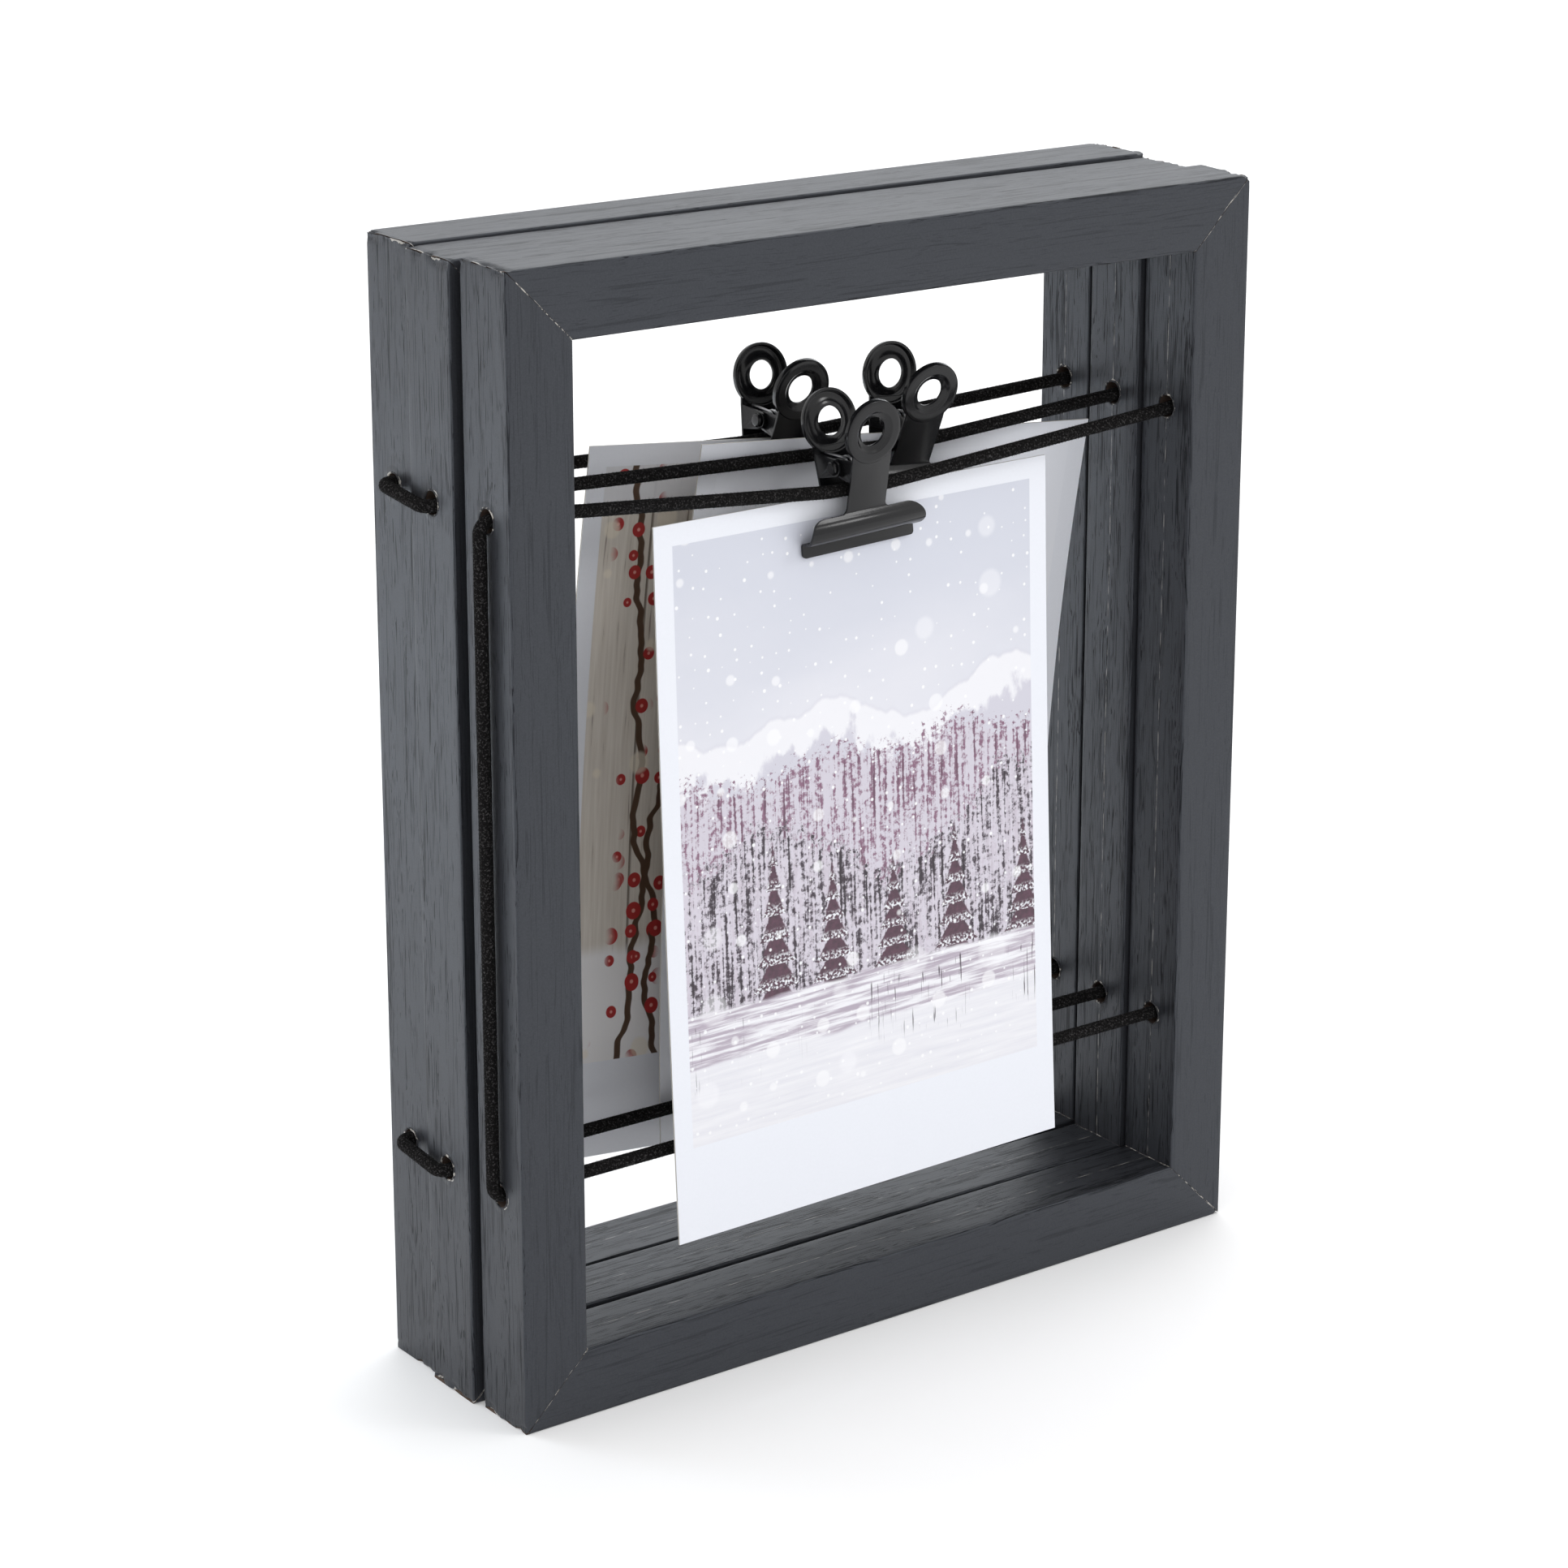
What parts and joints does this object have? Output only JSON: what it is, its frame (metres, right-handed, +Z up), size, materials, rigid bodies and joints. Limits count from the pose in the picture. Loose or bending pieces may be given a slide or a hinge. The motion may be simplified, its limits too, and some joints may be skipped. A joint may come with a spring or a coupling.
{
  "type": "folding photo frame",
  "caption": "Free-standing wooden photo frame that folds in a zig-zag, its panels laced together with elastic cord that also carries bulldog clips holding photo cards.",
  "frame": {"origin": "under the middle of the folded frame, on the surface that it stands on", "axes": "+X to the right of someone looking at the cards, +Y to the back through the folded panels, +Z up"},
  "size_m": [0.1946, 0.053, 0.24],
  "materials": {
    "moulding": "charcoal wood-grain foil, matt",
    "nail": "bright",
    "cord": "black woven sleeve over rubber",
    "clip": "black enamel, satin",
    "spring": "bright",
    "card": "coated print paper, satin"
  },
  "bodies": {
    "middle_panel": {"left_lower_tie": "cord", "left_upper_tie": "cord", "middle_bottom_rail": "moulding", "middle_left_stile": "moulding", "middle_lower_cord": "cord", "middle_right_stile": "moulding", "middle_top_rail": "moulding", "middle_upper_cord": "cord", "middle_v_nail_lower_left": "nail", "middle_v_nail_lower_right": "nail", "middle_v_nail_upper_left": "nail", "middle_v_nail_upper_right": "nail", "right_lower_tie": "cord", "right_upper_tie": "cord"},
    "front_panel": {"front_bottom_rail": "moulding", "front_left_stile": "moulding", "front_lower_cord": "cord", "front_right_stile": "moulding", "front_side_cord": "cord", "front_top_rail": "moulding", "front_upper_cord": "cord", "front_v_nail_lower_left": "nail", "front_v_nail_lower_right": "nail", "front_v_nail_upper_left": "nail", "front_v_nail_upper_right": "nail"},
    "back_panel": {"back_bottom_rail": "moulding", "back_left_stile": "moulding", "back_lower_cord": "cord", "back_right_stile": "moulding", "back_side_cord": "cord", "back_top_rail": "moulding", "back_upper_cord": "cord", "back_v_nail_lower_left": "nail", "back_v_nail_lower_right": "nail", "back_v_nail_upper_left": "nail", "back_v_nail_upper_right": "nail"},
    "front_clip": {"front_clip_pin": "clip", "front_clip_rear_jaw": "clip", "front_clip_spring": "spring", "front_photo_card": "card"},
    "front_clip_lever": {"front_clip_front_jaw": "clip"},
    "middle_clip": {"middle_clip_pin": "clip", "middle_clip_rear_jaw": "clip", "middle_clip_spring": "spring", "middle_photo_card": "card"},
    "middle_clip_lever": {"middle_clip_front_jaw": "clip"},
    "back_clip": {"back_clip_front_jaw": "clip", "back_clip_pin": "clip", "back_clip_spring": "spring", "back_photo_card": "card"},
    "back_clip_lever": {"back_clip_rear_jaw": "clip"}
  },
  "joints": [
    {"name": "front_fold", "type": "hinge", "parent": "middle_panel", "child": "front_panel", "pos_m": [0.0939, -0.0083, 0], "axis": [0, 0, 1], "range_deg": [-0.55, 179.45], "deforming": ["right_upper_tie", "right_lower_tie"]},
    {"name": "back_fold", "type": "hinge", "parent": "middle_panel", "child": "back_panel", "pos_m": [-0.0939, 0.0083, 0], "axis": [0, 0, 1], "range_deg": [-0.55, 179.45], "deforming": ["left_upper_tie", "left_lower_tie"]},
    {"name": "front_clip_slide", "type": "slide", "parent": "front_panel", "child": "front_clip", "axis": [1, 0.0096, 0], "range_m": [-0.016, 0.0095], "deforming": ["front_upper_cord"]},
    {"name": "middle_clip_slide", "type": "slide", "parent": "middle_panel", "child": "middle_clip", "axis": [1, 0, 0], "range_m": [-0.008, 0.005], "deforming": ["middle_upper_cord"]},
    {"name": "back_clip_slide", "type": "slide", "parent": "back_panel", "child": "back_clip", "axis": [1, 0.0096, 0], "range_m": [-0.012, 0.008], "deforming": ["back_upper_cord"]},
    {"name": "front_clip_squeeze", "type": "hinge", "parent": "front_clip", "child": "front_clip_lever", "pos_m": [-0.00392, -0.0155, 0.18834], "axis": [-0.999, -0.0333, -0.0314], "range_deg": [0, 30], "stiffness_Nm_per_rad": 0.06, "springref_deg": -34.38, "deforming": ["front_clip_spring"]},
    {"name": "middle_clip_squeeze", "type": "hinge", "parent": "middle_clip", "child": "middle_clip_lever", "pos_m": [0.02197, 0.0014, 0.19117], "axis": [-0.997, 0.002, 0.078], "range_deg": [0, 30], "stiffness_Nm_per_rad": 0.06, "springref_deg": -34.38, "deforming": ["middle_clip_spring"]},
    {"name": "back_clip_squeeze", "type": "hinge", "parent": "back_clip", "child": "back_clip_lever", "pos_m": [-0.00105, 0.01543, 0.19151], "axis": [0.9957, 0.0181, -0.0906], "range_deg": [0, 30], "stiffness_Nm_per_rad": 0.06, "springref_deg": -34.38, "deforming": ["back_clip_spring"]}
  ]
}
